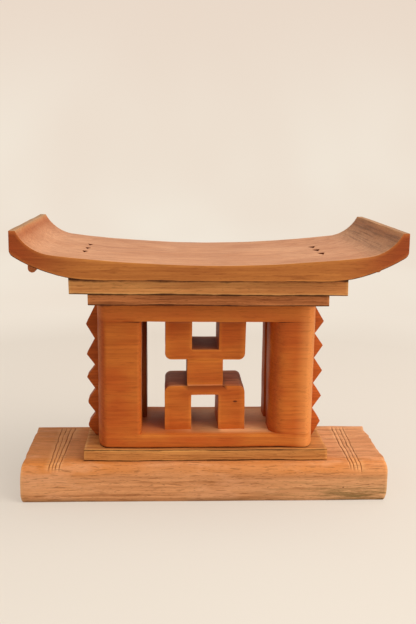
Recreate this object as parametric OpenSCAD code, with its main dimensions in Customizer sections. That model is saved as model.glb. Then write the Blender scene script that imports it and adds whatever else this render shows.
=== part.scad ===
// A carved wooden stool, also made small as a headrest: a dished seat on two treads, a frame of four
// columns round a pierced centre symbol, a zigzag post at each end, and a plinth on a thick base.
// The origin is the middle of the base's underside. +X runs along the seat, +Y to the back, +Z up.

/* [Seat] */
// Length of the seat, tip to tip
seat_w = 500; // [460:1:508]
// Depth of the seat, front to back
seat_d = 274; // [240:1:300]
// Thickness of the seat at its middle
seat_t = 20; // [18:1:26]
// Rise of the shallow dish where the upturned ends begin
dish_rise = 12; // [8:1:16]
// Length of each upturned end
upturn_w = 51; // [44:1:60]
// Height of the raised tips above the seat's middle
tip_rise = 42; // [36:1:55]
// Width of the flat rim on each tip
rim_w = 8; // [4:1:12]
// Half length of the underside's flat middle
under_flat = 140; // [120:1:150]
// Radius of the underside's upturned ends
under_r = 199; // [180:1:240]
// Radius of the lower corner of each tip
tip_corner_r = 10; // [6:1:14]

/* [Seat details] */
// Width of a triangular notch in the seat's left row
left_notch_w = 8; // [5:0.5:12]
// Length of a notch in the left row, front to back
left_notch_l = 17; // [10:1:24]
// Width of a notch in the right row, which is cut larger
right_notch_w = 10.5; // [5:0.5:12]
// Length of a notch in the right row, front to back
right_notch_l = 21; // [10:1:24]
// Depth of a notch
notch_depth = 6; // [3:1:8]
// Distance between the notches in a row
notch_pitch = 39; // [30:1:44]
// Width of the lug under each tip
lug_w = 12; // [8:1:16]
// Depth of a lug, front to back
lug_d = 26; // [16:1:40]
// Height of a lug's rounded lower end above the floor
lug_z = 308; // [300:1:320]

/* [Treads] */
// Length of the upper tread
upper_tread_w = 362; // [340:1:380]
// Depth of the upper tread
upper_tread_d = 218; // [200:1:230]
// Thickness of the upper tread at its middle
upper_tread_t = 22; // [16:1:26]
// Length of the lower tread
lower_tread_w = 315; // [308:1:335]
// Depth of the lower tread
lower_tread_d = 208; // [180:1:216]
// Thickness of the lower tread
lower_tread_t = 15; // [12:1:20]

/* [Frame] */
// Length of the top and bottom plates
frame_w = 302; // [298:1:306]
// Depth of the frame, over the columns
frame_d = 132; // [124:1:140]
// Thickness of the top plate
top_plate_t = 29.5; // [26:0.5:34]
// Height of the columns between the plates
column_h = 158.5; // [140:0.5:180]
// Thickness of the bottom plate
bottom_plate_t = 19.5; // [18:0.5:26]
// Distance from the middle to the inner face of the front left column
left_inner_x = 90; // [84:0.5:94]
// Distance from the middle to the inner face of the back left column, which stands a little further in
back_left_inner_x = 84; // [80:0.5:94]
// Distance from the middle to the inner face of the right columns
right_inner_x = 87.5; // [84:0.5:94]
// Rounding of the frame's outer corners along the length
corner_x = 15; // [8:1:18]
// Rounding of the frame's outer corners along the depth
corner_y = 36; // [20:1:40]
// Rounding of the left columns towards the middle
left_inner_r = 7; // [4:1:12]
// Rounding of the right columns towards the middle
right_inner_r = 22; // [12:1:24]

/* [Zigzag posts] */
// Thickness of a post, front to back
post_d = 24; // [18:1:28]
// Distance from the middle to the bottom of the cuts between the teeth
valley_x = 156; // [154:0.5:158]
// Distance from the middle to the tips of the teeth
tooth_x = 168.5; // [162:0.5:172]
// Heights of the left post's teeth above the plinth
left_teeth = [16.5, 51.5, 87.5, 120.5, 164.5];
// Heights of the right post's teeth above the plinth
right_teeth = [22, 59.5, 97, 134, 169.5];
// Height of the toothed length above the plinth
toothed_h = 190; // [185:1:195]

/* [Centre symbol] */
// Offset of the symbol from the middle
symbol_x = -1.5; // [-4:0.5:4]
// Width over the symbol's arms and legs
symbol_w = 112; // [100:1:120]
// Depth of the symbol, front to back
symbol_d = 86; // [70:1:96]
// Width of the gap between the two arms, and of the gap between the two legs
symbol_gap = 38; // [30:1:44]
// Width of the neck
neck_w = 50; // [44:1:56]
// How far the neck is set back from the front and the back
neck_set_back = 2; // [1:0.5:6]
// Rounding of the symbol's outer corners
symbol_r = 9; // [4:1:12]

/* [Base] */
// Length of the plinth
plinth_w = 337; // [330:1:350]
// Depth of the plinth
plinth_d = 146; // [140:1:156]
// Thickness of the plinth
plinth_t = 16.5; // [14:0.5:22]
// Length of the base
base_w = 508; // [500:1:520]
// Depth of the base at its widest
base_d = 174; // [166:1:190]
// Thickness of the base
base_t = 55; // [50:1:62]
// Width of an engraved line on the base
groove_w = 1.8; // [1:0.1:2.5]
// Depth of an engraved line
groove_depth = 1.2; // [0.6:0.1:2]
// Distance between the engraved lines of the left group
left_groove_pitch = 5.8; // [4:0.1:7]
// Distance between the engraved lines of the right group
right_groove_pitch = 5.4; // [4:0.1:7]

/* [Hidden] */
// Heights of the joints between the members, from the floor up
plinth_z = base_t;
bottom_plate_z = plinth_z + plinth_t;
column_z = bottom_plate_z + bottom_plate_t;
top_plate_z = column_z + column_h;
lower_tread_z = top_plate_z + top_plate_t;
upper_tread_z = lower_tread_z + lower_tread_t;
seat_z = upper_tread_z + upper_tread_t;
seat_mid_z = seat_z + seat_t;
seat_tip_z = seat_mid_z + tip_rise;

// The seat's top: a long shallow arc, then a tight arc up to the rim
dish_x = seat_w/2 - upturn_w;
rim_x = seat_w/2 - rim_w;
dish_r = (dish_x*dish_x + dish_rise*dish_rise)/(2*dish_rise);
dish_angle = asin(dish_x/dish_r);
chord_angle = atan2(tip_rise - dish_rise, rim_x - dish_x);
sweep_angle = 2*chord_angle - dish_angle;
sweep_r = (rim_x - dish_x)/(sin(sweep_angle) - sin(dish_angle));

// The underside's arc ends where the tip's corner rounding takes over
under_sine = (seat_w/2 - tip_corner_r - under_flat)/(under_r - tip_corner_r);
under_angle = asin(under_sine);

// Pegs and tenons
peg_r = 6;
peg_x = 72;
peg_y = 40;
peg_end = 12;
tenon_r = 12;
tenon_h = 14;
small_tenon_r = 8;
small_tenon_h = 11;
lug_tenon_r = 3.5;
pin_r = 4;
pin_l = 25;
pin_x = 126;
clearance = 0.1;
end_gap = 1;

// Columns
column_back_y = post_d/2;
column_y = (frame_d/2 + column_back_y)/2;
column_x = 118;
back_r = 5;

// Seats of the posts in the plates' ends
post_x = 140;

// Lugs: their distance in from the tips, and the wood left over their tenons
lug_in = 8;
lug_cover = 21;
lug_x = seat_w/2 - lug_in;
lug_top_z = seat_tip_z - lug_cover;

// Levels of the symbol above the bottom plate
leg_gap_h = 50;
legs_h = 63;
arms_z = 101;
arm_gap_z = 115;
arm_x = (symbol_w + symbol_gap)/4;

// Engraved lines: each group's place along the base, its turn, and the turn from one line to the next
left_groove_x = -208;
left_groove_turn = -0.7;
left_groove_fan = -0.7;
right_groove_x = 210;
right_groove_turn = -1.35;
right_groove_fan = -0.3;
groove_front_y = -77;
groove_l = 160;
groove_count = 4;

// Rows of notches, and the height of the dished top there
left_notch_x = -164;
right_notch_x = 153;
notch_row_y = -23;
notch_top_z = seat_mid_z + dish_rise*0.6;

// How far the base is drawn in at its foot and shoulder, and over what height: the ends, then the faces
end_foot = [4, 14];
end_shoulder = [3, 16];
face_foot = [5, 22];
face_shoulder = [11, 21];

arc_steps = 10;

seat_wood = [0.80, 0.52, 0.33];
tread_wood = [0.74, 0.46, 0.24];
frame_wood = [0.72, 0.35, 0.16];
base_wood = [0.80, 0.56, 0.35];
peg_wood = [0.60, 0.38, 0.22];

// Points of an arc that starts at angle a0 from straight down and turns to angle a1
function arc(cx, cz, r, a0, a1) =
    [for (i = [0:arc_steps]) let (a = a0 + (a1 - a0)*i/arc_steps) [cx + r*sin(a), cz - r*cos(a)]];

// Points of a quarter ellipse, from angle a0 on
function quarter(cx, cy, rx, ry, a0) =
    [for (i = [0:arc_steps]) let (a = a0 + 90*i/arc_steps) [cx + rx*cos(a), cy + ry*sin(a)]];

function flipped(points) = [for (i = [len(points) - 1:-1:0]) [-points[i][0], points[i][1]]];

// Right half of the seat's underside, from the middle out
function underside() = arc(under_flat, seat_z + under_r, under_r, 0, under_angle);

// Right half of the seat's top, from the middle out
function dish() = concat(
    arc(0, seat_mid_z + dish_r, dish_r, 0, dish_angle),
    arc(dish_x - sweep_r*sin(dish_angle), seat_mid_z + dish_rise + sweep_r*cos(dish_angle),
        sweep_r, dish_angle, sweep_angle));

function tip() = arc(
    seat_w/2 - tip_corner_r,
    seat_z + under_r*(1 - cos(under_angle)) + tip_corner_r*cos(under_angle),
    tip_corner_r, under_angle, 90);

// Right half of the seat's outline, from the underside's middle round the tip to the top's middle
function seat_half() = concat(
    underside(), tip(), [[seat_w/2, seat_tip_z]],
    [for (i = [len(dish()) - 1:-1:0]) dish()[i]]);

// Extrudes a front outline to the given depth, centred front to back
module front_outline(depth) {
    rotate([90, 0, 0])
        linear_extrude(depth, center = true)
            children();
}

// Extrudes an end outline to the given length, centred left to right
module end_outline(length) {
    rotate([90, 0, 90])
        linear_extrude(length, center = true)
            children();
}

// Places its children at the four corners of a rectangle
module at_corners(x, y) {
    for (sx = [-1, 1])
        for (sy = [-1, 1])
            translate([sx*x, sy*y, 0])
                children();
}

module seat_blank() {
    front_outline(seat_d)
        polygon(concat(seat_half(), flipped(seat_half())));
}

module notch_row(x, w, l) {
    for (i = [-1:1])
        translate([x, notch_row_y + i*notch_pitch, notch_top_z - notch_depth])
            linear_extrude(notch_depth*3)
                polygon([[-w/2, l/2], [w/2, l/2], [0, -l/2]]);
}

module peg_holes(z0, z1) {
    at_corners(peg_x, peg_y)
        translate([0, 0, z0])
            cylinder(r = peg_r, h = z1 - z0, $fn = 48);
}

module pegs(z0, z1) {
    at_corners(peg_x, peg_y)
        translate([0, 0, z0])
            cylinder(r = peg_r - clearance, h = z1 - z0, $fn = 48);
}

module lug_holes() {
    for (side = [-1, 1])
        translate([side*lug_x, 0, lug_z])
            cylinder(r = lug_tenon_r, h = lug_top_z - lug_z + end_gap, $fn = 32);
}

module seat() {
    color(seat_wood)
        difference() {
            seat_blank();
            notch_row(left_notch_x, left_notch_w, left_notch_l);
            notch_row(right_notch_x, right_notch_w, right_notch_l);
            peg_holes(seat_z - 1, seat_z + peg_end);
            lug_holes();
        }
}

// A rounded tongue scribed to the underside of one tip, with a round tenon into the seat
module lug(side) {
    color(seat_wood)
        union() {
            difference() {
                front_outline(lug_d)
                    translate([side*lug_x, 0])
                        union() {
                            translate([0, lug_z + lug_w/2])
                                circle(d = lug_w, $fn = 48);
                            translate([-lug_w/2, lug_z + lug_w/2])
                                square([lug_w, lug_top_z - lug_z - lug_w/2]);
                        }
                seat_blank();
            }
            translate([side*lug_x, 0, lug_z + lug_w])
                cylinder(r = lug_tenon_r - clearance, h = lug_top_z - lug_z - lug_w, $fn = 32);
        }
}

module left_lug() {
    lug(-1);
}

module right_lug() {
    lug(1);
}

// The upper tread's top is scribed to the seat's underside
module upper_tread() {
    color(tread_wood)
        difference() {
            translate([-upper_tread_w/2, -upper_tread_d/2, upper_tread_z])
                cube([upper_tread_w, upper_tread_d, upper_tread_t + seat_t/2]);
            seat_blank();
            peg_holes(upper_tread_z - 1, seat_z + 1);
        }
}

module lower_tread() {
    color(tread_wood)
        difference() {
            translate([-lower_tread_w/2, -lower_tread_d/2, lower_tread_z])
                cube([lower_tread_w, lower_tread_d, lower_tread_t]);
            peg_holes(lower_tread_z - 1, upper_tread_z + 1);
        }
}

module seat_pegs() {
    color(peg_wood)
        pegs(lower_tread_z - peg_end + end_gap, seat_z + peg_end - end_gap);
}

// Plan of the frame: long rounded corners, as wide as the plates
module frame_plan() {
    w = frame_w/2 - corner_x;
    d = frame_d/2 - corner_y;
    polygon(concat(
        quarter(w, d, corner_x, corner_y, 0), quarter(-w, d, corner_x, corner_y, 90),
        quarter(-w, -d, corner_x, corner_y, 180), quarter(w, -d, corner_x, corner_y, 270)));
}

// One plate of the frame, with a square notch in each end for a zigzag post
module plate(z, t) {
    difference() {
        translate([0, 0, z])
            linear_extrude(t)
                frame_plan();
        for (side = [-1, 1])
            translate([side*post_x - (side < 0 ? frame_w : 0), -post_d/2, z - 1])
                cube([frame_w, post_d, t + 2]);
        for (side = [-1, 1])
            translate([side*pin_x, 0, z + t/2])
                rotate([0, side*90, 0])
                    translate([0, 0, -1])
                        cylinder(r = pin_r, h = pin_l, $fn = 32);
    }
}

module tenon_holes(z0, z1) {
    at_corners(column_x, column_y)
        translate([0, 0, z0])
            cylinder(r = tenon_r, h = z1 - z0, $fn = 48);
}

module symbol_holes(z0, z1) {
    for (side = [-1, 1])
        translate([symbol_x + side*arm_x, 0, z0])
            cylinder(r = small_tenon_r, h = z1 - z0, $fn = 48);
}

module top_plate() {
    color(frame_wood)
        difference() {
            plate(top_plate_z, top_plate_t);
            tenon_holes(top_plate_z - 1, top_plate_z + tenon_h + end_gap);
            symbol_holes(top_plate_z - 1, top_plate_z + small_tenon_h + end_gap);
            peg_holes(lower_tread_z - peg_end, lower_tread_z + 1);
        }
}

module bottom_plate() {
    color(frame_wood)
        difference() {
            plate(bottom_plate_z, bottom_plate_t);
            tenon_holes(column_z - tenon_h - end_gap, column_z + 1);
            symbol_holes(column_z - small_tenon_h - end_gap, column_z + 1);
            peg_holes(bottom_plate_z - 1, bottom_plate_z + peg_end);
        }
}

// Plan of a front right column: inner_x is its inner face, inner_r its rounding towards the middle
module column_plan(inner_x, inner_r) {
    outer = frame_w/2;
    front = -frame_d/2;
    back = -column_back_y;
    polygon(concat(
        quarter(outer - corner_x, front + corner_y, corner_x, corner_y, 270),
        quarter(outer - back_r, back - back_r, back_r, back_r, 0),
        quarter(inner_x + back_r, back - back_r, back_r, back_r, 90),
        quarter(inner_x + inner_r, front + inner_r, inner_r, inner_r, 180)));
}

// A column with a round tenon at each end; side and face are -1 or 1 for left or right, front or back
module column(side, face) {
    left_x = face < 0 ? left_inner_x : back_left_inner_x;
    inner_x = side < 0 ? left_x : right_inner_x;
    inner_r = side < 0 ? left_inner_r : right_inner_r;
    color(frame_wood)
        union() {
            translate([0, 0, column_z])
                mirrored(side, -face)
                    linear_extrude(column_h)
                        column_plan(inner_x, inner_r);
            translate([side*column_x, face*column_y, column_z - tenon_h])
                cylinder(r = tenon_r - clearance, h = column_h + 2*tenon_h, $fn = 48);
        }
}

// Mirrors its children left to right, or front to back, where a sign is negative
module mirrored(x_sign, y_sign) {
    mirror([x_sign < 0 ? 1 : 0, 0, 0])
        mirror([0, y_sign < 0 ? 1 : 0, 0])
            children();
}

module front_left_column() {
    column(-1, -1);
}

module front_right_column() {
    column(1, -1);
}

module back_left_column() {
    column(-1, 1);
}

module back_right_column() {
    column(1, 1);
}

// Front outline of a right-hand zigzag post, standing on z = 0
function zigzag(teeth) = concat(
    [[post_x, 0], [valley_x, 0]],
    [for (i = [0:len(teeth) - 1]) each [
        [tooth_x, teeth[i]],
        [valley_x, i < len(teeth) - 1 ? (teeth[i] + teeth[i + 1])/2 : toothed_h]]],
    [[valley_x, lower_tread_z - bottom_plate_z], [post_x, lower_tread_z - bottom_plate_z]]);

module pin_holes(side) {
    for (z = [bottom_plate_z + bottom_plate_t/2, top_plate_z + top_plate_t/2])
        translate([side*pin_x, 0, z])
            rotate([0, side*90, 0])
                cylinder(r = pin_r, h = pin_l + end_gap, $fn = 32);
}

module zigzag_post(side, teeth) {
    color(frame_wood)
        difference() {
            translate([0, 0, bottom_plate_z])
                mirrored(side, 1)
                    front_outline(post_d)
                        polygon(zigzag(teeth));
            pin_holes(side);
        }
}

module left_zigzag_post() {
    zigzag_post(-1, left_teeth);
}

module right_zigzag_post() {
    zigzag_post(1, right_teeth);
}

module post_pins() {
    color(peg_wood)
        for (side = [-1, 1])
            for (z = [bottom_plate_z + bottom_plate_t/2, top_plate_z + top_plate_t/2])
                translate([side*pin_x, 0, z])
                    rotate([0, side*90, 0])
                        cylinder(r = pin_r - clearance, h = pin_l, $fn = 32);
}

// Front outline of the symbol's legs or arms, rounded at the top or at the bottom
module symbol_block(z0, z1, round_top) {
    w = symbol_w/2;
    r = symbol_r;
    points = concat(
        [[w, z0]],
        quarter(w - r, z1 - r, r, r, 0),
        quarter(-w + r, z1 - r, r, r, 90),
        [[-w, z0]]);
    polygon(round_top ? points : [for (p = points) [p[0], z0 + z1 - p[1]]]);
}

// Two legs that join under a neck, and two arms that open upwards from it, in one piece
module centre_symbol() {
    color(frame_wood)
        translate([symbol_x, 0, column_z])
            union() {
                front_outline(symbol_d)
                    difference() {
                        symbol_block(0, legs_h, true);
                        translate([-symbol_gap/2, -1])
                            square([symbol_gap, leg_gap_h + 1]);
                    }
                front_outline(symbol_d - 2*neck_set_back)
                    translate([-neck_w/2, legs_h])
                        square([neck_w, arms_z - legs_h]);
                front_outline(symbol_d)
                    difference() {
                        symbol_block(arms_z, column_h, false);
                        translate([-symbol_gap/2, arm_gap_z])
                            square([symbol_gap, column_h]);
                    }
                for (side = [-1, 1])
                    for (z = [-small_tenon_h, column_h])
                        translate([side*arm_x, 0, z])
                            cylinder(r = small_tenon_r - clearance, h = small_tenon_h, $fn = 48);
            }
}

module plinth() {
    color(base_wood)
        difference() {
            translate([-plinth_w/2, -plinth_d/2, plinth_z])
                cube([plinth_w, plinth_d, plinth_t]);
            peg_holes(plinth_z - 1, bottom_plate_z + 1);
        }
}

// Half of an outline that is widest part of the way up and drawn in at its foot and shoulder
function barrel(half_w, foot, shoulder) = concat(
    [for (i = [0:arc_steps]) let (a = 90*i/arc_steps)
        [half_w - foot[0]*(1 - sin(a)), foot[1]*(1 - cos(a))]],
    [for (i = [0:arc_steps]) let (a = 90*i/arc_steps)
        [half_w - shoulder[0]*(1 - cos(a)), base_t - shoulder[1]*(1 - sin(a))]]);

module base_blank() {
    ends = barrel(base_w/2, end_foot, end_shoulder);
    faces = barrel(base_d/2, face_foot, face_shoulder);
    intersection() {
        front_outline(base_d + 2)
            polygon(concat(ends, flipped(ends)));
        end_outline(base_w + 2)
            polygon(concat(faces, flipped(faces)));
    }
}

module groove_group(x, pitch, turn, fan) {
    for (place = [-(groove_count - 1)/2:(groove_count - 1)/2])
        translate([x + place*pitch, 0, base_t - groove_depth])
            rotate([0, 0, turn + place*fan])
                translate([-groove_w/2, groove_front_y, 0])
                    cube([groove_w, groove_l, groove_depth*2]);
}

module base() {
    color(base_wood)
        difference() {
            base_blank();
            groove_group(left_groove_x, left_groove_pitch, left_groove_turn, left_groove_fan);
            groove_group(right_groove_x, right_groove_pitch, right_groove_turn, right_groove_fan);
            peg_holes(base_t - 2*peg_end, base_t + 1);
        }
}

module foot_pegs() {
    color(peg_wood)
        pegs(base_t - 2*peg_end + end_gap, bottom_plate_z + peg_end - end_gap);
}

seat();
left_lug();
right_lug();
upper_tread();
lower_tread();
seat_pegs();
top_plate();
front_left_column();
front_right_column();
back_left_column();
back_right_column();
left_zigzag_post();
right_zigzag_post();
post_pins();
centre_symbol();
bottom_plate();
plinth();
base();
foot_pegs();
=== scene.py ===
import math

import bmesh
import bpy
from mathutils import Matrix, Vector, noise
from mathutils.bvhtree import BVHTree


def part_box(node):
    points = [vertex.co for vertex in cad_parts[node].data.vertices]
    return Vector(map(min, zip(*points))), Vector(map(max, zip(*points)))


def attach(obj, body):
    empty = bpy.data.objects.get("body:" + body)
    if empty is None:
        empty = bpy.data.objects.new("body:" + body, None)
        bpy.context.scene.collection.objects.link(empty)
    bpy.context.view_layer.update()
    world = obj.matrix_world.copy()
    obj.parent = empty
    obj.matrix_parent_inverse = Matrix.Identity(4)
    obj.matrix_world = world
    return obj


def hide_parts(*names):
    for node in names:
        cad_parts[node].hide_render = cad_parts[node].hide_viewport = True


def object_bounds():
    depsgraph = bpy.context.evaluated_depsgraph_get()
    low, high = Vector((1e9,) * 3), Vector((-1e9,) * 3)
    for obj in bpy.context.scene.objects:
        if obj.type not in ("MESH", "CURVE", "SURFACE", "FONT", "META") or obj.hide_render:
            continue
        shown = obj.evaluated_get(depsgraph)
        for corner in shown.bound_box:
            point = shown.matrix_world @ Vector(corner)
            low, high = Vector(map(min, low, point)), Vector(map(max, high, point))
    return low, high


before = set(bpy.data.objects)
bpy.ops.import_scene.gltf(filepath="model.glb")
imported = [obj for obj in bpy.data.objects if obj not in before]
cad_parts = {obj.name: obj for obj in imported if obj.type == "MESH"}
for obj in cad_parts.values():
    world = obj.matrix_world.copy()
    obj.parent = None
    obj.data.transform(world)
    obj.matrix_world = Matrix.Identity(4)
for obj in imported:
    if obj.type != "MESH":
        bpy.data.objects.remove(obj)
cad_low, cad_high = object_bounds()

MM = 0.001
STOOL = "root"

# The carver's hand: how far faces wander off true, and over what length.
WANDER = 1.0 * MM
WANDER_LENGTH = 85 * MM
TREMOR = 0.3 * MM
TREMOR_LENGTH = 22 * MM

# Fixes the wandering field, which would otherwise follow the clock, so that every run gives the same shapes.
noise.seed_set(7)

# Softened edges, and how far in from an edge a blank has its first cut.
WORN_EDGE = 1.3 * MM
CRISP_EDGE = 0.7 * MM
NEAR_EDGE = 4 * MM

# Up to this height the carver kept the foot flat on the ground.
FLAT_FOOT = 30 * MM

# Points nearer than this are taken as lying on the same line or face.
TOUCHING = 0.1 * MM


# ---------------------------------------------------------------- carving


def span(low, high, step):
    """Even stations strictly between low and high, about step apart."""
    count = max(1, round((high - low) / step))
    return [low + (high - low) * i / count for i in range(1, count)]


def slice_up(bm, axis, places):
    """Cuts the whole shape across an axis at each place, so that it can be bent and worn there."""
    normal = Vector((axis == 0, axis == 1, axis == 2))
    for place in places:
        everything = bm.verts[:] + bm.edges[:] + bm.faces[:]
        bmesh.ops.bisect_plane(bm, geom=everything, dist=1e-7, plane_co=normal * place, plane_no=normal)


def slice_slanted(bm, point, normal):
    """Cuts the whole shape through a point, across any direction."""
    everything = bm.verts[:] + bm.edges[:] + bm.faces[:]
    bmesh.ops.bisect_plane(bm, geom=everything, dist=1e-7, plane_co=point, plane_no=normal)


def new_blank():
    """An empty shape that can record, point by point, what was worn smooth and what was chopped out."""
    bm = bmesh.new()
    for label in ("wear", "chopped"):
        bm.verts.layers.float.new(label)
    return bm


def block(low, high, steps):
    """A squared block between two corners, cut into cells of about steps, with a cut near each edge."""
    bm = new_blank()
    size = Vector(high) - Vector(low)
    middle = (Vector(high) + Vector(low)) / 2
    bmesh.ops.create_cube(bm, size=1, matrix=Matrix.Translation(middle) @ Matrix.Diagonal((*size, 1)))
    for axis in range(3):
        start = low[axis] + NEAR_EDGE
        end = high[axis] - NEAR_EDGE
        slice_up(bm, axis, [start, end] + span(start, end, steps[axis]))
    return bm


def prism(outline, axis, low, high):
    """An outline in the plane across an axis, drawn out from low to high along it."""
    bm = new_blank()
    others = [i for i in range(3) if i != axis]
    corners = []
    for first, second in outline:
        place = Vector((0, 0, 0))
        place[axis] = low
        place[others[0]] = first
        place[others[1]] = second
        corners.append(bm.verts.new(place))
    face = bm.faces.new(corners)
    drawn = bmesh.ops.extrude_face_region(bm, geom=[face])
    moved = [v for v in drawn["geom"] if isinstance(v, bmesh.types.BMVert)]
    travel = Vector((0, 0, 0))
    travel[axis] = high - low
    bmesh.ops.translate(bm, vec=travel, verts=moved)
    bmesh.ops.recalc_face_normals(bm, faces=bm.faces[:])
    return bm


def shape(bm, rule):
    """Moves every point to where a rule puts it."""
    for v in bm.verts:
        v.co = rule(v.co)


def sharp_edges(bm, least=35, keep=lambda edge: True):
    """Edges that turn by more than the least angle, in degrees, out of those to keep."""
    bm.normal_update()
    least = math.radians(least)
    return [e for e in bm.edges if len(e.link_faces) == 2 and e.calc_face_angle(0) > least and keep(e)]


def soften(bm, edges, width, segments=2):
    """Rounds edges over and marks the rounded strip as worn."""
    if not edges:
        return
    worn = bm.verts.layers.float["wear"]
    made = bmesh.ops.bevel(
        bm, geom=edges, offset=width, offset_type="OFFSET", segments=segments, profile=0.5,
        affect="EDGES", clamp_overlap=True, material=-1)
    for v in made["verts"]:
        v[worn] = 1.0


def smooth_step(low, high, value):
    """Eases from 0 at low to 1 at high."""
    t = min(max((value - low) / (high - low), 0.0), 1.0)
    return t * t * (3 - 2 * t)


def hand_carve(bm):
    """Moves every point by one wandering field, the same for all pieces, so that joints stay shut."""
    for v in bm.verts:
        drift = noise.noise_vector(v.co / WANDER_LENGTH) * WANDER
        drift += noise.noise_vector(v.co / TREMOR_LENGTH + Vector((7, 3, 5))) * TREMOR
        drift.z *= smooth_step(0, FLAT_FOOT, v.co.z)
        moved = v.co + drift
        v.co = [min(max(moved[i], cad_low[i]), cad_high[i]) for i in range(3)]


def mark_surface(bm, level):
    """Stores what the finish needs: how far a point faces up, how rounded off it is, and its level.

    Rounded corners that face left count more: they take painted shade for the side away from the light.
    """
    bm.normal_update()
    upward = bm.verts.layers.float.new("upward")
    turned = bm.verts.layers.float.new("turned")
    height = bm.verts.layers.float.new("height")
    for v in bm.verts:
        v[upward] = smooth_step(0.2, 0.95, v.normal.z)
        # Left-facing roundings get the most painted shade, away from the light on the right.
        side = 1.0 if v.normal.x < 0 else 0.25
        v[turned] = side * smooth_step(0.0, 0.22, 1 - max(abs(part) for part in v.normal))
        v[height] = level(v.co)


CREVICE_REACH = 26 * MM
CREVICE_RAYS = 12
# Wood nearer than this to a face shuts it in completely.
SHUT_JOINT = 0.8 * MM
RAY_LIFT = 0.3 * MM


def ray_fan(count):
    """Directions spread evenly over a half ball around +Z."""
    fan = []
    for i in range(count):
        rise = math.sqrt((i + 0.5) / count)
        turn = i * math.pi * (3 - math.sqrt(5))
        flat = math.sqrt(1 - rise * rise)
        fan.append(Vector((flat * math.cos(turn), flat * math.sin(turn), rise)))
    return fan


def find_crevices(pieces):
    """Stores on every point how hemmed in it is by the wood around it, which the finishes use for painted
    shade in corners and for stain gathered there.

    Faces that lie against another piece are left out, so that a shut joint stays clean.
    """
    points = []
    faces = []
    for piece in pieces:
        start = len(points)
        points += [v.co.copy() for v in piece.data.vertices]
        faces += [[start + i for i in face.vertices] for face in piece.data.polygons]
    solid = BVHTree.FromPolygons(points, faces)
    fan = ray_fan(CREVICE_RAYS)
    for piece in pieces:
        vertices = piece.data.vertices
        totals = [[0.0, 0] for _ in vertices]
        for face in piece.data.polygons:
            out = face.normal
            if solid.ray_cast(face.center + out * 0.05 * MM, out, SHUT_JOINT)[3] is not None:
                continue
            turn = out.to_track_quat("Z", "Y")
            rays = [turn @ ray for ray in fan]
            for i in face.vertices:
                eye = vertices[i].co.lerp(face.center, 0.2) + out * RAY_LIFT
                hidden = 0.0
                for ray in rays:
                    distance = solid.ray_cast(eye, ray, CREVICE_REACH)[3]
                    if distance is not None:
                        hidden += 1 - 0.6 * distance / CREVICE_REACH
                totals[i][0] += hidden / CREVICE_RAYS
                totals[i][1] += 1
        crevice = piece.data.attributes.new("crevice", "FLOAT", "POINT")
        crevice.data.foreach_set("value", [total / max(1, count) for total, count in totals])


PIECES = []


def finish_piece(name, bm, material, level=lambda place: place.z):
    """Turns a carved shape into a piece of the stool, standing for the node of the same name."""
    mark_surface(bm, level)
    hand_carve(bm)
    bmesh.ops.recalc_face_normals(bm, faces=bm.faces[:])
    mesh = bpy.data.meshes.new(name)
    bm.to_mesh(mesh)
    bm.free()
    mesh.shade_smooth()
    mesh.set_sharp_from_angle(angle=math.radians(38))
    piece = bpy.data.objects.new(name, mesh)
    bpy.context.scene.collection.objects.link(piece)
    mesh.materials.append(material)
    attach(piece, STOOL)
    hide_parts(name.replace("carved_", ""))
    PIECES.append(piece)
    return piece


# ---------------------------------------------------------------- levels of the members

seat_low, seat_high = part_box("seat")
upper_low, upper_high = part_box("upper_tread")
lower_low, lower_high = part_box("lower_tread")
top_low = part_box("top_plate")[0]
floor_low, floor_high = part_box("bottom_plate")
plinth_low, plinth_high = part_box("plinth")
base_low, base_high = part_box("base")

SEAT_THICKNESS = 20 * MM
DISH_RISE = 12 * MM
DISH_END = 51 * MM
RIM = 8 * MM
UNDER_FLAT = 140 * MM
UNDER_RADIUS = 199 * MM
TIP_CORNER = 10 * MM

seat_end = seat_high.x
seat_under = seat_low.z
seat_middle = seat_under + SEAT_THICKNESS
seat_tip = seat_high.z


def rising_arc(x, start, radius):
    """Height gained at x along a circle of that radius that starts level at start."""
    run = max(0.0, x - start)
    return radius - math.sqrt(radius * radius - run * run)


def seat_top(x):
    """Height of the dished top: a long shallow arc, a tight arc up, then the flat rim."""
    x = abs(x)
    dish_x = seat_end - DISH_END
    rim_x = seat_end - RIM
    dish_radius = (dish_x ** 2 + DISH_RISE ** 2) / (2 * DISH_RISE)
    if x <= dish_x:
        return seat_middle + rising_arc(x, 0, dish_radius)
    if x >= rim_x:
        return seat_tip
    start = math.asin(dish_x / dish_radius)
    run = rim_x - dish_x
    rise = seat_tip - seat_middle - DISH_RISE
    end = 2 * math.atan2(rise, run) - start
    radius = run / (math.sin(end) - math.sin(start))
    angle = math.asin(min(1.0, math.sin(start) + (x - dish_x) / radius))
    return seat_middle + DISH_RISE + radius * (math.cos(start) - math.cos(angle))


def seat_underside(x):
    """Height of the underside: flat in the middle, rising to the rounded lower corner of the tip."""
    x = abs(x)
    sine = (seat_end - TIP_CORNER - UNDER_FLAT) / (UNDER_RADIUS - TIP_CORNER)
    corner_x = seat_end - TIP_CORNER * (1 - sine)
    if x <= corner_x:
        return seat_under + rising_arc(x, UNDER_FLAT, UNDER_RADIUS)
    cosine = math.sqrt(1 - sine * sine)
    centre_z = seat_under + UNDER_RADIUS * (1 - cosine) + TIP_CORNER * cosine
    run = min(1.0, (x - seat_end + TIP_CORNER) / TIP_CORNER)
    return centre_z - TIP_CORNER * math.sqrt(1 - run * run)


# ---------------------------------------------------------------- seat

NOTCH_DEPTH = 6 * MM
NOTCH_LIP = 0.3 * MM
NOTCH_PITCH = 39 * MM
NOTCH_ROW_Y = -23 * MM
# Each row: how far along the seat, and the width and length of its notches.
NOTCH_ROWS = ((-164 * MM, 8 * MM, 17 * MM), (153 * MM, 10.5 * MM, 21 * MM))

# From here outwards the sides of the seat redden towards its tips.
REDDENED_FROM = 150 * MM


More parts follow.
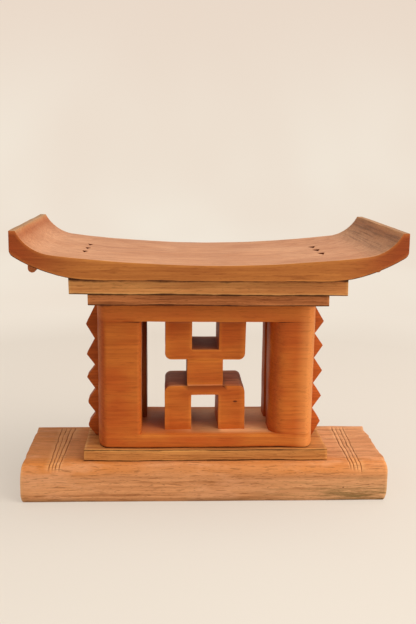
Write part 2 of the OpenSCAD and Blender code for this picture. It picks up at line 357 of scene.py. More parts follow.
def cut_notch(bm, x, y, width, length):
    """Chops one triangular notch into the seat's top, its point towards the front."""
    middle = Vector((x, y, 0))
    corners = [
        middle + Vector((-width / 2, length / 2, 0)),
        middle + Vector((width / 2, length / 2, 0)),
        middle + Vector((0, -length / 2, 0))]
    sides = []
    for i in range(3):
        run = corners[(i + 1) % 3] - corners[i]
        sides.append((corners[i], Vector((-run.y, run.x, 0)).normalized()))

    def flat(face):
        centre = face.calc_center_median()
        return Vector((centre.x, centre.y, 0))

    def top_faces():
        bm.normal_update()
        return [f for f in bm.faces if f.normal.z > 0.5 and (flat(f) - middle).length < 1.5 * length]

    for corner, outward in sides:
        faces = top_faces()
        touched = {v for f in faces for v in f.verts} | {e for f in faces for e in f.edges}
        bmesh.ops.bisect_plane(
            bm, geom=list(touched) + faces, dist=1e-7, plane_co=corner, plane_no=outward)
    inside = [f for f in top_faces()
              if all((flat(f) - corner).dot(outward) < 0 for corner, outward in sides)]
    chopped = bm.verts.layers.float["chopped"]
    for depth, narrowing in ((NOTCH_LIP, 1.0), (NOTCH_DEPTH - NOTCH_LIP, 0.8)):
        sunk = bmesh.ops.extrude_face_region(bm, geom=inside)
        bmesh.ops.delete(bm, geom=inside, context="FACES_ONLY")
        inside = [f for f in sunk["geom"] if isinstance(f, bmesh.types.BMFace)]
        floor = [v for v in sunk["geom"] if isinstance(v, bmesh.types.BMVert)]
        bmesh.ops.translate(bm, vec=(0, 0, -depth), verts=floor)
        bmesh.ops.scale(
            bm, vec=(narrowing, narrowing, 1), verts=floor, space=Matrix.Translation((-x, -y, 0)))
        for v in floor:
            v[chopped] = 1.0


def make_seat():
    """One plank: dished top, upturned flat-rimmed ends, chopped notches."""
    bm = block(
        (-seat_end, seat_low.y, 0), (seat_end, seat_high.y, SEAT_THICKNESS),
        (11 * MM, 14 * MM, 7 * MM))
    dish_x = seat_end - DISH_END
    rim_x = seat_end - RIM
    bends = span(dish_x, rim_x, 4 * MM) + [rim_x]
    corner = [seat_end - t * MM for t in (0.15, 0.6, 1.4, 2.4)]
    slice_up(bm, 0, [side * x for side in (-1, 1) for x in bends + corner])

    def bend(place):
        share = place.z / SEAT_THICKNESS
        under = seat_underside(place.x)
        return Vector((place.x, place.y, under + share * (seat_top(place.x) - under)))

    shape(bm, bend)
    soften(bm, sharp_edges(bm), WORN_EDGE)
    ends = bm.verts.layers.float.new("ends")
    for v in bm.verts:
        v[ends] = smooth_step(REDDENED_FROM, seat_end, abs(v.co.x))
    for x, width, length in NOTCH_ROWS:
        for i in (-1, 0, 1):
            cut_notch(bm, x, NOTCH_ROW_Y + i * NOTCH_PITCH, width, length)
    return finish_piece(
        "carved_seat", bm, seat_timber, level=lambda place: place.z - seat_underside(place.x))


LEFT_LUG_WORN = 0.5 * MM
RIGHT_LUG_WORN = 3 * MM
LUG_STEPS = 12


def make_lug(side):
    """A rounded tongue under one tip of the seat, scribed to the underside."""
    name = "left_lug" if side < 0 else "right_lug"
    low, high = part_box(name)
    radius = (high.x - low.x) / 2
    middle = (high.x + low.x) / 2
    foot = low.z + (LEFT_LUG_WORN if side < 0 else RIGHT_LUG_WORN)
    top = seat_underside(middle) + 4 * MM
    outline = [(low.x, top)]
    for i in range(LUG_STEPS + 1):
        angle = math.pi * (1 + i / LUG_STEPS)
        outline.append((middle + radius * math.cos(angle), foot + radius + radius * math.sin(angle)))
    outline.append((high.x, top))
    bm = prism(outline, 1, low.y, high.y)
    slice_up(bm, 2, span(foot + radius, top, 8 * MM))
    shape(bm, lambda place: Vector((place.x, place.y, min(place.z, seat_underside(place.x)))))

    def hanging(edge):
        return min(v.co.z for v in edge.verts) < top - 12 * MM

    soften(bm, sharp_edges(bm, 50, hanging), WORN_EDGE)
    return finish_piece("carved_" + name, bm, lug_timber)


# ---------------------------------------------------------------- treads


def make_upper_tread():
    """The wide board under the seat, its top scribed to the seat's underside."""
    bm = block(upper_low, (upper_high.x, upper_high.y, seat_under), (12 * MM, 16 * MM, 8 * MM))

    def scribe(place):
        share = (place.z - upper_low.z) / (seat_under - upper_low.z)
        return Vector((place.x, place.y, place.z + share * (seat_underside(place.x) - seat_under)))

    shape(bm, scribe)
    soften(bm, sharp_edges(bm), CRISP_EDGE)
    return finish_piece("carved_upper_tread", bm, upper_tread_timber)


def make_lower_tread():
    bm = block(lower_low, lower_high, (12 * MM, 16 * MM, 5 * MM))
    soften(bm, sharp_edges(bm), CRISP_EDGE)
    return finish_piece("carved_lower_tread", bm, lower_tread_timber)


# ---------------------------------------------------------------- frame

CORNER_ALONG = 15 * MM
CORNER_ACROSS = 36 * MM
CORNER_STEPS = 9
POST_SEAT = 140 * MM


def quarter(centre_x, centre_y, along, across, start):
    """Points of a quarter ellipse, anticlockwise from the angle start."""
    return [
        (centre_x + along * math.cos(math.radians(start + 90 * i / CORNER_STEPS)),
         centre_y + across * math.sin(math.radians(start + 90 * i / CORNER_STEPS)))
        for i in range(CORNER_STEPS + 1)]


def plate_plan(high, notch):
    """Plan of a plate: long rounded corners, and a square notch in each end for a zigzag post."""
    x = high.x - CORNER_ALONG
    y = high.y - CORNER_ACROSS
    right_end = [(high.x, -notch), (POST_SEAT, -notch), (POST_SEAT, notch), (high.x, notch)]
    left_end = [(-a, -b) for a, b in right_end]
    return (
        right_end
        + quarter(x, y, CORNER_ALONG, CORNER_ACROSS, 0)
        + quarter(-x, y, CORNER_ALONG, CORNER_ACROSS, 90)
        + left_end
        + quarter(-x, -y, CORNER_ALONG, CORNER_ACROSS, 180)
        + quarter(x, -y, CORNER_ALONG, CORNER_ACROSS, 270))


def make_plate(name, column_side):
    """The frame's top or bottom plate; column_side is the level that the columns stand or hang on."""
    low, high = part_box(name)
    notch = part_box("left_zigzag_post")[1].y
    bm = prism(plate_plan(high, notch), 2, low.z, high.z)
    slice_up(bm, 0, span(low.x + CORNER_ALONG, high.x - CORNER_ALONG, 12 * MM))
    slice_up(bm, 1, span(-notch, notch, 12 * MM))
    slice_up(bm, 2, span(low.z, high.z, 7 * MM))
    opening = min(-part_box("front_left_column")[1].x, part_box("front_right_column")[0].x) - 3 * MM

    def in_opening(edge):
        place = (edge.verts[0].co + edge.verts[1].co) / 2
        return abs(place.z - column_side) < TOUCHING and abs(place.x) < opening

    def outside(edge):
        return all(abs(v.co.z - column_side) > TOUCHING for v in edge.verts)

    soften(bm, sharp_edges(bm, 50, in_opening), WORN_EDGE)
    soften(bm, sharp_edges(bm, 50, outside), CRISP_EDGE)
    return finish_piece("carved_" + name, bm, frame_timber)


# The saw ran past the inner corners into the columns' tops.
SAW_CUT = 1.1 * MM
LEFT_SAW_REACH = 12 * MM
RIGHT_SAW_REACH = 30 * MM
LEFT_INNER_ROUND = 7 * MM
RIGHT_INNER_ROUND = 22 * MM
BACK_ROUND = 5 * MM


def make_column(name):
    """One of the four columns: an oval outer corner, and an inner one that is rounder on the right."""
    low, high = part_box(name)
    left = name.endswith("left_column")
    front = name.startswith("front")
    outer = max(abs(low.x), abs(high.x))
    inner = min(abs(low.x), abs(high.x))
    face = max(abs(low.y), abs(high.y))
    back = min(abs(low.y), abs(high.y))
    inner_round = LEFT_INNER_ROUND if left else RIGHT_INNER_ROUND
    plan = (
        quarter(outer - CORNER_ALONG, -face + CORNER_ACROSS, CORNER_ALONG, CORNER_ACROSS, 270)
        + quarter(outer - BACK_ROUND, -back - BACK_ROUND, BACK_ROUND, BACK_ROUND, 0)
        + quarter(inner + BACK_ROUND, -back - BACK_ROUND, BACK_ROUND, BACK_ROUND, 90)
        + quarter(inner + inner_round, -face + inner_round, inner_round, inner_round, 180))
    plan = [(-x if left else x, y if front else -y) for x, y in plan]
    bm = prism(plan, 2, floor_high.z, top_low.z)
    slice_up(bm, 2, span(floor_high.z, top_low.z, 9 * MM) + [top_low.z - SAW_CUT - 0.3 * MM])
    reach = LEFT_SAW_REACH if left else RIGHT_SAW_REACH
    chopped = bm.verts.layers.float["chopped"]
    for v in bm.verts:
        run_out = 1 - smooth_step(0.4, 1.0, (abs(v.co.x) - inner) / reach)
        if v.co.z > top_low.z - TOUCHING and abs(v.co.y) > face - inner_round - 1 * MM:
            v.co.z -= SAW_CUT * run_out
            v[chopped] = run_out
    return finish_piece("carved_" + name, bm, frame_timber)


TOOTH_VALLEY = 156 * MM
LEFT_TEETH = (16.5, 51.5, 87.5, 120.5, 164.5)
LEFT_BLUNT = (4.5, 4.5, 1.2, 1.0, 1.0)
RIGHT_TEETH = (22, 59.5, 97, 134, 169.5)
RIGHT_BLUNT = (1.5, 0.8, 0.8, 0.8, 0.8)
TOOTHED_HEIGHT = 190 * MM


def make_zigzag_post(side, teeth, blunt):
    """A toothed strip between the columns of one end; blunt gives how far each tooth's tip is worn."""
    name = "left_zigzag_post" if side < 0 else "right_zigzag_post"
    low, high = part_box(name)
    tip = max(abs(low.x), abs(high.x))
    outline = [(POST_SEAT, low.z), (TOOTH_VALLEY, low.z)]
    heights = [low.z + t * MM for t in teeth]
    for i, here in enumerate(heights):
        valley = (here + heights[i + 1]) / 2 if i + 1 < len(heights) else low.z + TOOTHED_HEIGHT
        outline += [(tip, here), (TOOTH_VALLEY, valley)]
    outline += [(TOOTH_VALLEY, high.z), (POST_SEAT, high.z)]
    bm = prism([(side * x, z) for x, z in outline], 1, low.y, high.y)
    for here, wear in zip(heights, blunt):
        tip_edges = [e for e in bm.edges if all(
            abs(v.co.z - here) < 0.01 * MM and abs(v.co.x) > tip - 0.01 * MM for v in e.verts)]
        soften(bm, tip_edges, wear * MM, 3)
    slice_up(bm, 1, span(low.y, high.y, 8 * MM))
    slice_up(bm, 2, span(low.z, high.z, 6 * MM))
    soften(bm, sharp_edges(bm, 30), CRISP_EDGE)
    return finish_piece("carved_" + name, bm, tooth_timber)


SYMBOL_GAP = 38 * MM
SYMBOL_ROUND = 9 * MM
SYMBOL_EDGE = 1.9 * MM
NECK = 50 * MM
NECK_SET_BACK = 2 * MM
LEG_GAP_HEIGHT = 50 * MM
LEGS_HEIGHT = 63 * MM
ARMS_START = 101 * MM
ARM_GAP_START = 115 * MM


def make_symbol():
    """Two legs, a neck and two arms in one piece, with both gaps open."""
    low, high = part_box("centre_symbol")
    middle = (low.x + high.x) / 2
    half = (high.x - low.x) / 2
    gap = SYMBOL_GAP / 2
    neck = NECK / 2
    r = SYMBOL_ROUND
    foot = floor_high.z
    top = top_low.z - foot
    right = (
        [(gap, LEG_GAP_HEIGHT), (gap, 0), (half, 0)]
        + quarter(half - r, LEGS_HEIGHT - r, r, r, 0)
        + [(neck, LEGS_HEIGHT), (neck, ARMS_START)]
        + quarter(half - r, ARMS_START + r, r, r, 270)
        + [(half, top), (gap, top), (gap, ARM_GAP_START)])
    left = [(-x, z) for x, z in reversed(right)]
    bm = prism([(middle + x, foot + z) for x, z in right + left], 1, low.y, high.y)
    step = 1.5 * MM
    slice_up(bm, 2, [foot + z for z in (LEGS_HEIGHT, LEGS_HEIGHT + step, ARMS_START - step, ARMS_START)])
    slice_up(bm, 2, [foot + z for z in span(0, top, 8 * MM)])
    slice_up(bm, 0, [middle + x for x in span(-half, half, 8 * MM)])
    slice_up(bm, 1, span(low.y, high.y, 12 * MM))

    def set_neck_back(place):
        height = place.z - foot
        if LEGS_HEIGHT + step * 0.5 < height < ARMS_START - step * 0.5:
            return Vector((place.x, place.y * (1 - NECK_SET_BACK / high.y), place.z))
        return place.copy()

    shape(bm, set_neck_back)
    chopped = bm.verts.layers.float["chopped"]
    for v in bm.verts:
        if abs(v.co.z - foot - LEGS_HEIGHT) < TOUCHING and abs(v.co.x - middle) < neck + 1 * MM:
            v[chopped] = 0.7

    def free(edge):
        return all(foot + 1 * MM < v.co.z < top_low.z - 1 * MM for v in edge.verts)

    soften(bm, sharp_edges(bm, 40, free), SYMBOL_EDGE)
    return finish_piece("carved_centre_symbol", bm, symbol_timber)


# ---------------------------------------------------------------- plinth and base


def make_plinth():
    bm = block(plinth_low, plinth_high, (12 * MM, 16 * MM, 5 * MM))
    soften(bm, sharp_edges(bm), CRISP_EDGE)
    return finish_piece("carved_plinth", bm, plinth_timber)


LINE_WIDTH = 2.1 * MM
LINE_DEPTH = 1.1 * MM
LINE_COUNT = 4
LINE_WOBBLE = 1.1 * MM
LINES_BACK = 76 * MM
# Each group: its middle, its pitch, its turn, the turn from line to line, and how much further each
# line runs down the front shoulder than the one before.
LINE_GROUPS = (
    (-208 * MM, 5.8 * MM, -0.7, -0.7, 0.3 * MM),
    (210 * MM, 5.4 * MM, -1.35, -0.3, 1.4 * MM))
LINE_DROP = 7 * MM
# A stray tool mark that crosses the right group.
SCRATCH_MIDDLE = Vector((206 * MM, 27 * MM, 0))
SCRATCH_HALF = 26 * MM
# The axe work on the ends: how deep it goes, how far it reaches, and how much is cut everywhere.
END_CHOPS = 3.4 * MM
END_REACH = 26 * MM
LEFT_END_CUT = 0.2
RIGHT_END_CUT = 0.45
# How far the base is drawn in at its foot and shoulder, and over what height: the faces, then the ends.
FACE_DRAWN_IN = (5 * MM, 22 * MM, 11 * MM, 21 * MM)
END_DRAWN_IN = (4 * MM, 14 * MM, 3 * MM, 16 * MM)


def drawn_in(height, thickness, foot_in, foot_height, top_in, top_height):
    """How far a side is drawn in at a height: a little at the foot, more at the shoulder."""
    if height < foot_height:
        return foot_in * (1 - math.sqrt(1 - (1 - height / foot_height) ** 2))
    above = height - (thickness - top_height)
    if above > 0:
        return top_in * (1 - math.sqrt(max(0.0, 1 - (above / top_height) ** 2)))
    return 0.0


def engraved_lines():
    """Each engraved line: its middle, its direction, how far it runs each way, and down the shoulder."""
    lines = []
    for x, pitch, turn, fan, stagger in LINE_GROUPS:
        for i in range(LINE_COUNT):
            place = i - (LINE_COUNT - 1) / 2
            angle = math.radians(turn + fan * place)
            run = Vector((-math.sin(angle), math.cos(angle), 0))
            middle = Vector((x + place * pitch, 0, 0))
            lines.append((middle, run, base_low.y, LINES_BACK, LINE_DROP + i * stagger))
    run = Vector((1, 0.03, 0)).normalized()
    lines.append((SCRATCH_MIDDLE, run, -SCRATCH_HALF, SCRATCH_HALF, 0.0))
    return lines


def mark_lines(bm, lines):
    """Finds the points at the bottom of each engraved line and how deep each goes, and lets them wobble."""
    pressed = {}
    shifts = {}
    worn = bm.verts.layers.float["wear"]
    for v in bm.verts:
        drop = base_high.z - v.co.z
        if drop > TOUCHING and v.co.y > base_low.y + TOUCHING:
            continue
        for i, (middle, run, start, end, reach) in enumerate(lines):
            across = Vector((run.y, -run.x, 0))
            away = abs((v.co - middle).dot(across))
            if away > LINE_WIDTH / 2 + 0.05 * MM or drop > reach + 4 * MM:
                continue
            along = (v.co - middle).dot(run)
            fade = smooth_step(start - 4 * MM, start + 3 * MM, along + 4 * MM)
            fade *= 1 - smooth_step(end - 3 * MM, end + 5 * MM, along)
            fade *= 1 - smooth_step(reach - 3 * MM, reach + 4 * MM, drop)
            wobble = noise.noise(Vector((along / (19 * MM), 3.7 * i, 0)))
            shifts[v] = across * LINE_WOBBLE * wobble
            if away < 0.05 * MM:
                depth = 0.8 + 0.6 * noise.noise(Vector((along / (14 * MM), 5.3 * i, 1)))
                pressed[v] = max(pressed.get(v, 0.0), fade * depth)
            else:
                v[worn] = max(v[worn], 0.9 * fade)
    for v, shift in shifts.items():
        v.co += shift
    return pressed


def make_base():
    """The thick foot: rounded shoulders, ends left from the axe, and engraved lines at both ends."""
    bm = block(base_low, base_high, (13 * MM, 9 * MM, 6 * MM))
    top = base_high.z
    slice_up(bm, 2, [top - t * MM for t in (0.4, 1.3, 7, 12)] + [t * MM for t in (0.6, 1.8)])
    lines = engraved_lines()
    for middle, run, _, _, _ in lines:
        across = Vector((run.y, -run.x, 0))
        for share in (-0.5, 0, 0.5):
            slice_slanted(bm, middle + across * share * LINE_WIDTH, across)

    def round_over(place):
        deep = drawn_in(place.z, top, *FACE_DRAWN_IN)
        wide = drawn_in(place.z, top, *END_DRAWN_IN)
        end = math.copysign(1, place.x)
        chop = noise.noise(Vector((place.y / (24 * MM) + end * 9, place.z / (60 * MM), end * 3)))
        chop += 0.5 * noise.noise(Vector((place.y / (11 * MM), place.z / (30 * MM), end * 5)))
        chop = END_CHOPS * max(0.0, (LEFT_END_CUT if end < 0 else RIGHT_END_CUT) + 0.75 * chop)
        near_end = smooth_step(base_high.x - END_REACH, base_high.x, abs(place.x))
        return Vector((
            place.x * (1 - wide / base_high.x) - end * chop * near_end,
            place.y * (1 - deep / base_high.y),
            place.z))

    pressed = mark_lines(bm, lines)
    shape(bm, round_over)
    bm.normal_update()
    chopped = bm.verts.layers.float["chopped"]
    for v, fade in pressed.items():
        v.co -= v.normal * LINE_DEPTH * fade
        v[chopped] = 0.85 * fade

    def at_foot_or_end(edge):
        at_foot = min(v.co.z for v in edge.verts) < 3 * MM
        return at_foot or abs(edge.verts[0].co.x) > base_high.x - 14 * MM

    soften(bm, sharp_edges(bm, 48, at_foot_or_end), WORN_EDGE)
    return finish_piece("carved_base", bm, base_timber)


# ---------------------------------------------------------------- timber finishes


def linear(red, green, blue):
    """A colour given as 0 to 255 display values, as the shader wants it."""
    def channel(value):
        value /= 255
        return value / 12.92 if value <= 0.04045 else ((value + 0.055) / 1.055) ** 2.4
    return (channel(red), channel(green), channel(blue), 1.0)


def feed(tree, socket, value):
    """Links a socket to another node's output, or sets its plain value."""
    if isinstance(value, bpy.types.NodeSocket):
        tree.links.new(value, socket)
    else:
        socket.default_value = value


def place_node(tree, kind, settings=None, **inputs):
    """Adds a node, sets its properties, and sets or links its inputs by name or number."""
    made = tree.nodes.new(kind)
    for key, value in (settings or {}).items():
        setattr(made, key, value)
    for key, value in inputs.items():
        numbered = key[0] == "i" and key[1:].isdigit()
        feed(tree, made.inputs[int(key[1:]) if numbered else key.replace("_", " ")], value)
    return made


def maths(tree, operation, first, second=0.0, third=0.0, clamp=False):
    settings = {"operation": operation, "use_clamp": clamp}
    return place_node(tree, "ShaderNodeMath", settings, i0=first, i1=second, i2=third).outputs[0]


def product(tree, first, *others):
    result = first
    for other in others:
        result = maths(tree, "MULTIPLY", result, other)
    return result


def less(tree, value):
    """The rest of a share: one minus it."""
    return maths(tree, "SUBTRACT", 1.0, value)


def vector_maths(tree, operation, *vectors):
    """The outputs of a sum on vectors: a vector first, then a value."""
    numbered = {f"i{number}": vector for number, vector in enumerate(vectors)}
    return place_node(tree, "ShaderNodeVectorMath", {"operation": operation}, **numbered).outputs


def blend_colours(tree, factor, first, second, mode="MIX"):
    made = tree.nodes.new("ShaderNodeMix")
    made.data_type = "RGBA"
    made.blend_type = mode
    for number, value in ((0, factor), (6, first), (7, second)):
        feed(tree, made.inputs[number], value)
    return made.outputs[2]


def stain(tree, colour, tint, amount, *masks):
    """Takes a colour towards a tint by an amount, only where every mask allows it."""
    return blend_colours(tree, product(tree, *masks, amount), colour, tint)


def scaled(tree, vector, scales):
    settings = {"vector_type": "POINT"}
    return place_node(tree, "ShaderNodeMapping", settings, Vector=vector, Scale=scales).outputs[0]


def stretch(tree, vector, along, across):
    """Scales a pattern: along the grain (X) and across it."""
    return scaled(tree, vector, (along, across, across))


def split(tree, vector):
    apart = place_node(tree, "ShaderNodeSeparateXYZ", {}, Vector=vector).outputs
    return apart[0], apart[1], apart[2]


def attribute(tree, label):
    return place_node(tree, "ShaderNodeAttribute", {"attribute_name": label}).outputs["Fac"]


def noise_value(tree, vector, scale=1.0, detail=2.0, roughness=0.5):
    made = place_node(
        tree, "ShaderNodeTexNoise", {"noise_dimensions": "3D"},
        Vector=vector, Scale=scale, Detail=detail, Roughness=roughness)
    return made.outputs["Fac"]


def between(tree, value, low, high):
    """Spreads a value so that low becomes 0 and high becomes 1."""
    made = place_node(
        tree, "ShaderNodeMapRange", {"clamp": True, "interpolation_type": "SMOOTHSTEP"},
        Value=value, From_Min=low, From_Max=high)
    return made.outputs[0]


def spot(tree, vector, place, size):
    """An oval mark at a place, with the given half sizes."""
    away = vector_maths(tree, "SUBTRACT", vector, place)[0]
    share = vector_maths(tree, "DIVIDE", away, size)[0]
    return between(tree, vector_maths(tree, "LENGTH", share)["Value"], 1.2, 0.5)


def new_group(name, inputs, outputs):
    tree = bpy.data.node_groups.new(name, "ShaderNodeTree")
    for label, kind, value in inputs:
        made = tree.interface.new_socket(name=label, in_out="INPUT", socket_type=kind)
        if value is not None:
            made.default_value = value
    for label, kind in outputs:
        tree.interface.new_socket(name=label, in_out="OUTPUT", socket_type=kind)
    return tree, tree.nodes.new("NodeGroupInput").outputs, tree.nodes.new("NodeGroupOutput").inputs


# The grain's sway, and the pith, which lies below the floor and a little to the back, so that the faces
# show rings cut almost flat.
SWAY = 22 * MM
PITH_BEHIND = 100 * MM
PITH_BELOW = 160 * MM


def figure_group():
    """The figure of the timber, with the grain along X: rings, fibres, pores and broad mottling."""
    tree, given, out = new_group(
        "timber figure",
        [("Vector", "NodeSocketVector", None), ("Ring Spacing", "NodeSocketFloat", 0.006)],
        [("Rings", "NodeSocketFloat"), ("Fibres", "NodeSocketFloat"), ("Pores", "NodeSocketFloat"),
         ("Mottle", "NodeSocketFloat"), ("Streaks", "NodeSocketFloat"), ("Blush", "NodeSocketFloat"),
         ("Flecks", "NodeSocketFloat")])
    vector = given["Vector"]
    drift = place_node(
        tree, "ShaderNodeTexNoise", {}, Vector=stretch(tree, vector, 2.2, 9.0), Scale=1.0, Detail=3.0,
        Roughness=0.55).outputs["Color"]
    centred = vector_maths(tree, "SUBTRACT", drift, (0.5, 0.5, 0.5))[0]
    swayed = vector_maths(tree, "MULTIPLY", centred, (SWAY, SWAY, SWAY))[0]
    moved = vector_maths(tree, "ADD", vector, swayed)[0]
    _, across, up = split(tree, moved)
    y = maths(tree, "ADD", across, -PITH_BEHIND)
    z = maths(tree, "ADD", up, PITH_BELOW)
    radius = maths(tree, "SQRT", maths(tree, "ADD", product(tree, y, y), product(tree, z, z)))
    turns = maths(tree, "DIVIDE", radius, given["Ring Spacing"])
    part = maths(tree, "FRACT", turns)
    # Slow pale early wood, then a thin dark line of late wood.
    late = maths(tree, "POWER", part, 3.0)
    fall = between(tree, part, 1.0, 0.88)
    tree.links.new(maths(tree, "MULTIPLY", late, fall), out["Rings"])
    fibres = noise_value(tree, stretch(tree, vector, 9, 420), 1.0, 3.0, 0.6)
    tree.links.new(between(tree, fibres, 0.3, 0.7), out["Fibres"])
    pores = noise_value(tree, stretch(tree, vector, 150, 1500), 1.0, 1.0, 0.4)
    tree.links.new(between(tree, pores, 0.62, 0.74), out["Pores"])
    flecks = noise_value(tree, stretch(tree, moved, 38, 520), 1.0, 2.0, 0.55)
    tree.links.new(between(tree, flecks, 0.57, 0.68), out["Flecks"])
    mottle = noise_value(tree, stretch(tree, vector, 7, 14), 1.0, 3.0, 0.55)
    tree.links.new(between(tree, mottle, 0.3, 0.7), out["Mottle"])
    streaks = noise_value(tree, stretch(tree, moved, 5.0, 190), 1.0, 5.0, 0.68)
    tree.links.new(between(tree, streaks, 0.40, 0.66), out["Streaks"])
    blush = noise_value(tree, stretch(tree, vector, 11, 22), 1.0, 3.0, 0.5)
    tree.links.new(between(tree, blush, 0.36, 0.64), out["Blush"])
    return tree


def handling_group():
    """Marks of making and use: flats left by the blade, and fine scuffs."""
    tree, given, out = new_group(
        "marks of the hand",
        [("Vector", "NodeSocketVector", None), ("Flat Size", "NodeSocketFloat", 26.0)],
        [("Flats", "NodeSocketFloat"), ("Scuffs", "NodeSocketFloat"), ("Smudges", "NodeSocketFloat")])
    cells = place_node(
        tree, "ShaderNodeTexVoronoi", {"feature": "SMOOTH_F1"}, Vector=given["Vector"],
        Scale=given["Flat Size"], Smoothness=0.7)
    tree.links.new(cells.outputs["Distance"], out["Flats"])
    scuffs = noise_value(tree, stretch(tree, given["Vector"], 60, 260), 1.0, 4.0, 0.7)
    tree.links.new(between(tree, scuffs, 0.45, 0.75), out["Scuffs"])
    smudges = noise_value(tree, given["Vector"], 17.0, 3.0, 0.6)
    tree.links.new(between(tree, smudges, 0.4, 0.7), out["Smudges"])
    return tree


FIGURE = figure_group()
HANDLING = handling_group()


def joint_group():
    """A joint's dark line, partly painted shadow: uneven in width, at a given height."""
    tree, given, out = new_group(
        "joint line",
        [("Vector", "NodeSocketVector", None), ("Height", "NodeSocketFloat", 0.0),
         ("Joint", "NodeSocketFloat", 0.0), ("Width", "NodeSocketFloat", 0.0012)],
        [("Mask", "NodeSocketFloat")])
    unevenness = noise_value(tree, stretch(tree, given["Vector"], 30, 8), 1.0, 3.0, 0.6)
    reach = maths(tree, "MULTIPLY", given["Width"], maths(tree, "MULTIPLY_ADD", unevenness, 2.6, -0.3))
    away = maths(tree, "ABSOLUTE", maths(tree, "SUBTRACT", given["Height"], given["Joint"]))
    share = maths(tree, "DIVIDE", away, reach)
    tree.links.new(between(tree, share, 1.3, 0.5), out["Mask"])
    return tree


JOINT = joint_group()


def darker(colour, share):
    """The same colour with only a share of its light."""
    return [part * share for part in colour[:3]] + [1.0]


def use_group(tree, group, **inputs):
    made = tree.nodes.new("ShaderNodeGroup")
    made.node_tree = group
    for key, value in inputs.items():
        feed(tree, made.inputs[key.replace("_", " ")], value)
    return made.outputs


# Painted shade for corners and recesses, also standing for stain gathered there.
CREVICE_SHADE_COLOUR = linear(84, 32, 12)
JOINT_SHADOW = linear(52, 18, 6)
# Painted shade in cut hollows: notches, saw cuts and engraved lines.
CUT_HOLLOW_SHADE = linear(84, 30, 12)


def timber(name, pale, dark, top=None, streak=None, streak_amount=0.5, ring_amount=0.45, mottle_amount=0.35,
           roughness=0.55, coat=0.04, ring_spacing=0.0055, bump=0.25, extra=None, joints=(), red=None,
           red_amount=0.5, pores=0.3, flecks=0.4, reddened_ends=None, crevice_shading=0.6):
    """A finish of oiled timber. pale and dark are the early and late wood; top is a painted sheen of light
    on what faces up.

    extra paints a piece's own tones and some painted light and shade, red is random blush and painted shade
    on rounded corners that face left and in corners, and joints lists heights that have a dark line, partly
    painted shadow, with its width.
    """
    material = bpy.data.materials.new(name)
    material.use_nodes = True
    tree = material.node_tree
    shader = tree.nodes["Principled BSDF"]
    vector = place_node(tree, "ShaderNodeTexCoord").outputs["Object"]
    figure = use_group(tree, FIGURE, Vector=vector, Ring_Spacing=ring_spacing)
    marks = use_group(tree, HANDLING, Vector=vector)
    upward = attribute(tree, "upward")
    crevice = attribute(tree, "crevice")
    on_side = less(tree, upward)

    body = pale
    if top:
        # Painted light: faces that point up take the paler top colour, a sheen of light from above.
        body = stain(tree, body, top, 1.0, upward)
    if reddened_ends:
        body = stain(tree, body, reddened_ends, 1.0, on_side, attribute(tree, "ends"))
    if red:
        # Painted shade: red deepens on rounded corners that face left, away from the light, and in corners;
        # the blush is random tone.
        red_and_shade = product(tree, attribute(tree, "turned"), 0.9)
        red_and_shade = maths(tree, "MAXIMUM", red_and_shade, product(tree, figure["Blush"], 0.8))
        red_and_shade = maths(tree, "MAXIMUM", red_and_shade, between(tree, crevice, 0.05, 0.5))
        body = stain(tree, body, red, red_amount, red_and_shade)
    colour = stain(tree, body, dark, ring_amount, figure["Rings"])
    colour = stain(tree, colour, streak or dark, streak_amount, figure["Streaks"])
    colour = stain(tree, colour, dark, mottle_amount, figure["Mottle"])
    colour = blend_colours(tree, product(tree, figure["Fibres"], 0.16), colour, dark, "MULTIPLY")
    if extra:
        colour = extra(tree, vector, colour)
    colour = stain(tree, colour, darker(dark, 0.7), flecks, figure["Flecks"])
    colour = stain(tree, colour, darker(dark, 0.35), pores, figure["Pores"])
    colour = blend_colours(tree, product(tree, attribute(tree, "wear"), 0.28), colour, pale, "SCREEN")
    # Painted shade where the wood hems a face in, mixed with stain gathered there.
    colour = stain(tree, colour, CREVICE_SHADE_COLOUR, crevice_shading, between(tree, crevice, 0.25, 1.0), on_side)
    # Painted shade in what was chopped out.
    colour = stain(tree, colour, CUT_HOLLOW_SHADE, 0.9, attribute(tree, "chopped"))
    # A dark line along each joint, partly painted shadow.
    for height, width in joints:
        line = use_group(
            tree, JOINT, Vector=vector, Height=attribute(tree, "height"), Joint=height, Width=width)["Mask"]
        colour = stain(tree, colour, JOINT_SHADOW, 0.92, line, on_side)
    tree.links.new(colour, shader.inputs["Base Color"])

    rough = maths(tree, "MULTIPLY_ADD", marks["Smudges"], 0.10, roughness - 0.04)
    rough = maths(tree, "MULTIPLY_ADD", marks["Scuffs"], 0.08, rough)
    rough = maths(tree, "MULTIPLY_ADD", crevice, 0.35, rough, clamp=True)
    tree.links.new(rough, shader.inputs["Roughness"])
    shader.inputs["Coat Weight"].default_value = coat
    shader.inputs["Coat Roughness"].default_value = 0.22
    shader.inputs["Specular IOR Level"].default_value = 0.14

    height = product(tree, figure["Fibres"], 0.00012)
    height = maths(tree, "MULTIPLY_ADD", figure["Pores"], -0.00022, height)
    height = maths(tree, "MULTIPLY_ADD", figure["Flecks"], -0.00016, height)
    height = maths(tree, "MULTIPLY_ADD", figure["Rings"], -0.00010, height)
    height = maths(tree, "MULTIPLY_ADD", marks["Flats"], 0.0011, height)
    relief = place_node(tree, "ShaderNodeBump", {}, Strength=bump, Distance=1.0, Height=height)
    tree.links.new(relief.outputs[0], shader.inputs["Normal"])
    return material


